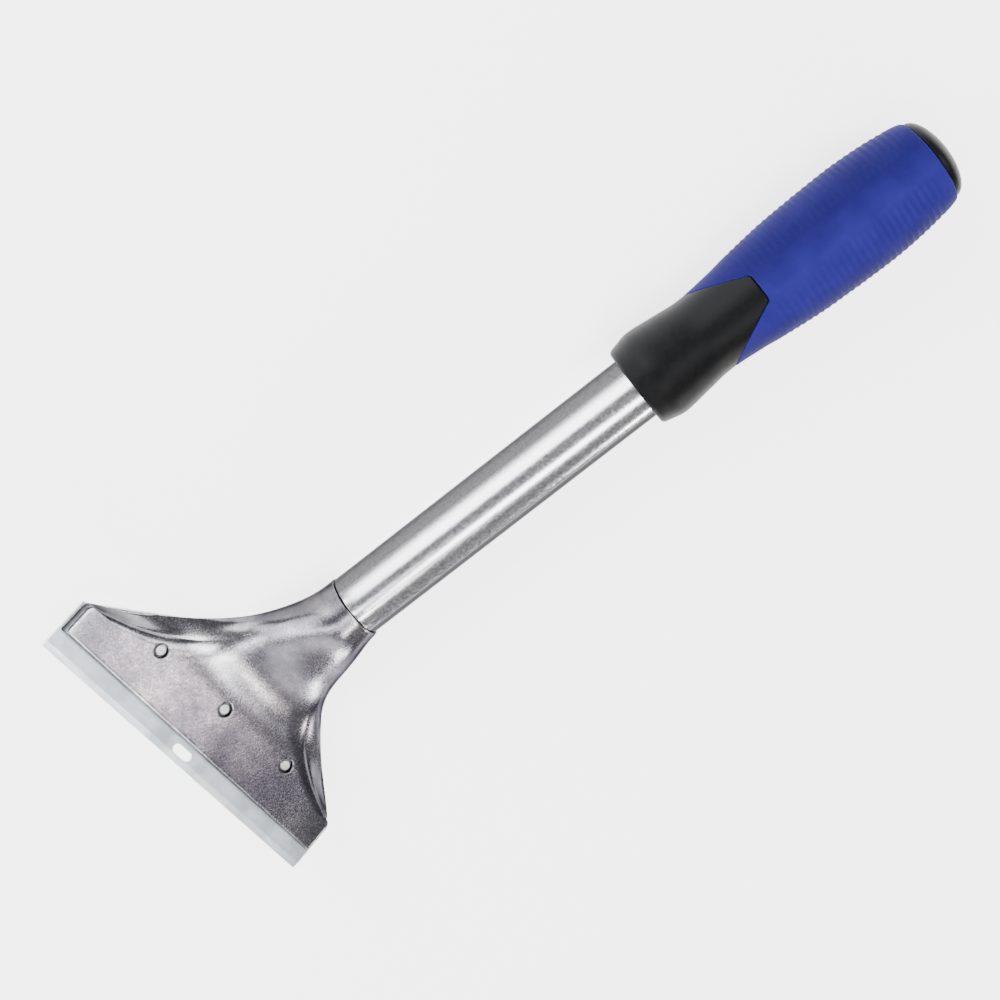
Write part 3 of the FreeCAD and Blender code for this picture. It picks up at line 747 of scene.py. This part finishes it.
def casting_material():
    """Bright plated zinc with a fine orange peel and soft cloudy patches, and painted shade on its
    sides, back and from end to end of the head.
    """
    tint = (0.32, 0.32, 0.32, 1)
    material, tree, shader = new_material("plated_casting", Metallic=1.0, Specular_Tint=tint)
    clouds = grain(tree, 60.0, detail=9.0, roughness=0.74)
    greys = [(0.36, (0.35, 0.35, 0.39)), (0.5, (0.50, 0.49, 0.52)), (0.66, (0.84, 0.81, 0.83))]
    colour = ramp(tree, clouds, greys)
    # Painted shade: the casting is darker where it faces sideways or back, in place of dark
    # reflections.
    sides = [(0.2, (1, 1, 1)), (0.42, (0.56, 0.56, 0.57)), (0.75, (0.24, 0.24, 0.24)),
             (1.0, (0.14, 0.14, 0.14))]
    colour = painted_side_shade(tree, colour, sides)
    # Painted shade and highlight: lightest left of the middle of the head, darkest towards its
    # right end.
    shade_across_stops = [(0.0, (0.85, 0.86, 0.88)), (0.32, (1, 1, 1)), (0.48, (0.84, 0.82, 0.85)),
            (0.6, (0.52, 0.5, 0.54)), (0.75, (0.46, 0.45, 0.49)), (0.9, (0.56, 0.56, 0.58))]
    colour = painted_shade_across_head(tree, colour, shade_across_stops)
    tree.links.new(colour, shader.inputs["Base Color"])
    fine = grain(tree, 1700.0, detail=2.0, roughness=0.6)
    tree.links.new(remap(tree, fine, 0.19, 0.30), shader.inputs["Roughness"])
    bumped(tree, shader, fine, 0.028)
    return material


def tube_material():
    """Plated steel tube: brighter than the casting, with a light speckle and painted shade where it
    faces sideways or back.
    """
    tint = (0.4, 0.4, 0.4, 1)
    material, tree, shader = new_material("plated_tube", Metallic=1.0, Specular_Tint=tint)
    fine = grain(tree, 1300.0, detail=3.0, roughness=0.65)
    greys = [(0.3, (0.58, 0.57, 0.6)), (0.5, (0.78, 0.78, 0.82)), (0.7, (0.9, 0.9, 0.94))]
    colour = ramp(tree, fine, greys)
    # Painted shade: the tube is darker where it faces sideways or back, and more on its right side.
    sides = [(0.7, (1, 1, 1)), (0.8, (0.4, 0.4, 0.41)), (0.88, (0.1, 0.1, 0.1)),
             (1.0, (0.09, 0.09, 0.09))]
    colour = painted_side_shade(tree, colour, sides, right=1.55)
    tree.links.new(colour, shader.inputs["Base Color"])
    tree.links.new(remap(tree, fine, 0.15, 0.26), shader.inputs["Roughness"])
    bumped(tree, shader, fine, 0.012)
    return material


def blade_material():
    """Ground spring steel with a faint oily bloom."""
    material, tree, shader = new_material("blade_steel", Metallic=0.55)
    bloom = grain(tree, 110.0, detail=4.0, roughness=0.55)
    greys = [(0.35, (0.46, 0.52, 0.57)), (0.55, (0.70, 0.77, 0.83)), (0.75, (0.58, 0.65, 0.71))]
    tree.links.new(ramp(tree, bloom, greys), shader.inputs["Base Color"])
    lines = grain(tree, 900.0, detail=2.0, roughness=0.5, stretch=(0.08, 1, 1))
    tree.links.new(remap(tree, lines, 0.28, 0.42), shader.inputs["Roughness"])
    bumped(tree, shader, lines, 0.004)
    return material


def zinc_material(name, low, high):
    """Zinc-plated steel, dulled in patches."""
    material, tree, shader = new_material(name, Metallic=1.0)
    patches = grain(tree, 260.0, detail=3.0, roughness=0.6)
    tree.links.new(ramp(tree, patches, [(0.35, low), (0.65, high)]), shader.inputs["Base Color"])
    tree.links.new(remap(tree, patches, 0.25, 0.45), shader.inputs["Roughness"])
    return material


def black_plastic(name):
    """Satin black moulded plastic."""
    material, tree, shader = new_material(name, Specular_IOR_Level=0.12)
    texture = grain(tree, 700.0, detail=3.0, roughness=0.6)
    blacks = [(0.35, (0.0018, 0.0020, 0.0025)), (0.65, (0.0030, 0.0033, 0.0040))]
    tree.links.new(ramp(tree, texture, blacks), shader.inputs["Base Color"])
    tree.links.new(remap(tree, texture, 0.40, 0.48), shader.inputs["Roughness"])
    bumped(tree, shader, texture, 0.01)
    return material


def rubber_material():
    """Matt blue rubber, slightly cloudy, with painted shade where it faces sideways or back."""
    material, tree, shader = new_material("blue_rubber", Specular_IOR_Level=0.06)
    clouds = grain(tree, 130.0, detail=3.0, roughness=0.6)
    blues = [(0.3, (0.016, 0.012, 0.145)), (0.7, (0.022, 0.017, 0.185))]
    colour = ramp(tree, clouds, blues)
    # Painted shade: the blue is darkened where the grip faces sideways or back.
    colour = painted_side_shade(tree, colour, [(0.25, (1, 1, 1)), (0.75, (0.4, 0.4, 0.48))])
    tree.links.new(colour, shader.inputs["Base Color"])
    fine = grain(tree, 2500.0, detail=2.0, roughness=0.6)
    tree.links.new(remap(tree, fine, 0.55, 0.68), shader.inputs["Roughness"])
    bumped(tree, shader, fine, 0.01)
    return material


def dress_node(name, material, bevel):
    """Gives a CAD node its finish and softens its edges."""
    obj = frame["nodes"][name]
    obj.data.materials.clear()
    obj.data.materials.append(material)
    modifier = obj.modifiers.new("soft_edges", "BEVEL")
    modifier.width = bevel * MM
    modifier.segments = 3
    modifier.limit_method = "ANGLE"
    modifier.angle_limit = math.radians(35)
    modifier.harden_normals = True


def dress_steel_parts():
    """Finishes for the pieces that stay as the CAD has them."""
    dress_node("blade", blade_material(), 0.06)
    zinc = zinc_material("zinc_steel", (0.42, 0.43, 0.45), (0.62, 0.63, 0.66))
    dress_node("clamp_plate", zinc, 0.25)
    screws = zinc_material("screw_zinc", (0.7, 0.7, 0.72), (0.9, 0.9, 0.92))
    for side in ("left", "centre", "right"):
        dress_node(f"clamp_screw_{side}", screws, 0.06)
    dark = zinc_material("pin_steel", (0.08, 0.08, 0.09), (0.16, 0.16, 0.17))
    dress_node("spring_pin", dark, 0.05)


# ---------------------------------------------------------------- studio

# Metres, degrees and, for the lens, millimetres.
FLOOR_SIZE = 6.0
FLOOR_GAP = 0.0004
CAMERA_PLACE = (-0.18467, 0.02867, 0.39621)
CAMERA_TURN = (-24.046, -11.413, 52.599)
SENSOR_WIDTH = 36.0
LENS = 57.6


def pale_floor():
    """A wide white floor that glows, just under the tool."""
    low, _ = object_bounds()
    bpy.ops.mesh.primitive_plane_add(size=FLOOR_SIZE, location=(0, 0, low.z - FLOOR_GAP))
    floor = bpy.context.object
    floor.name = "floor"
    material, _, _ = new_material(
        "pale_floor", Roughness=0.9, Base_Color=(0.96, 0.96, 0.96, 1),
        Emission_Color=(1, 1, 1, 1), Emission_Strength=2.8)
    floor.data.materials.append(material)
    floor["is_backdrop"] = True


def softbox(name, direction, distance, across, along, power, colour=(1, 1, 1)):
    """A rectangular area light that faces the middle of the tool."""
    data = bpy.data.lights.new(name, "AREA")
    data.shape = "RECTANGLE"
    data.size, data.size_y = across, along
    data.energy = power
    data.color = colour
    light = bpy.data.objects.new(name, data)
    towards = Vector(direction).normalized()
    light.location = towards * distance
    light.rotation_euler = towards.to_track_quat("Z", "Y").to_euler()
    bpy.context.scene.collection.objects.link(light)
    light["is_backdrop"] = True


def studio_light():
    """Softboxes where the plating shows bright bands, and a dim pale surround."""
    softbox("left_softbox", (-0.88, -0.10, 0.46), 1.2, 0.62, 1.05, 15.4)
    softbox("front_left_softbox", (-0.50, -0.74, 0.46), 1.2, 1.15, 0.36, 8.6, (0.96, 0.98, 1.0))
    softbox("crest_softbox", (-0.13, -0.55, 0.82), 1.2, 0.18, 0.75, 3.0, (0.96, 0.98, 1.0))
    softbox("top_softbox", (0.20, -0.10, 0.97), 1.3, 0.5, 0.32, 5.9, (1.0, 0.98, 0.98))
    softbox("warm_softbox", (0.38, -0.36, 0.85), 1.2, 0.16, 0.14, 1.5, (1.0, 0.96, 0.86))
    softbox("front_fill", (0.40, -0.75, 0.5), 1.4, 1.0, 0.6, 2.4)
    softbox("rear_softbox", (-0.06, 0.50, 0.86), 1.3, 0.36, 0.8, 9.0)
    softbox("crown_softbox", (0.20, 0.71, 0.67), 1.2, 0.2, 0.38, 2.2, (0.96, 0.98, 1.0))
    softbox("pink_softbox", (0.34, 0.42, 0.84), 1.3, 0.14, 0.16, 0.85, (1.0, 0.88, 0.93))
    softbox("right_softbox", (0.94, 0.08, 0.33), 1.2, 0.26, 0.16, 4.2, (1.0, 0.95, 0.88))
    softbox("streak_softbox", (0.77, -0.59, 0.25), 1.2, 0.42, 0.14, 4.6)
    world = bpy.data.worlds.new("studio")
    world.use_nodes = True
    background = world.node_tree.nodes["Background"]
    background.inputs["Color"].default_value = (0.95, 0.96, 1.0, 1)
    background.inputs["Strength"].default_value = 0.22
    bpy.context.scene.world = world


def make_camera():
    """Looks down on the tool from its left, with the handle to the upper right."""
    data = bpy.data.cameras.new("camera")
    data.sensor_width = SENSOR_WIDTH
    data.lens = LENS
    camera = bpy.data.objects.new("camera", data)
    camera.location = CAMERA_PLACE
    camera.rotation_euler = [math.radians(angle) for angle in CAMERA_TURN]
    bpy.context.scene.collection.objects.link(camera)
    bpy.context.scene.camera = camera


# ---------------------------------------------------------------- the whole picture

make_casting()
make_tube()
make_core()
make_grip()
make_cap()
dress_steel_parts()
pale_floor()
studio_light()
make_camera()
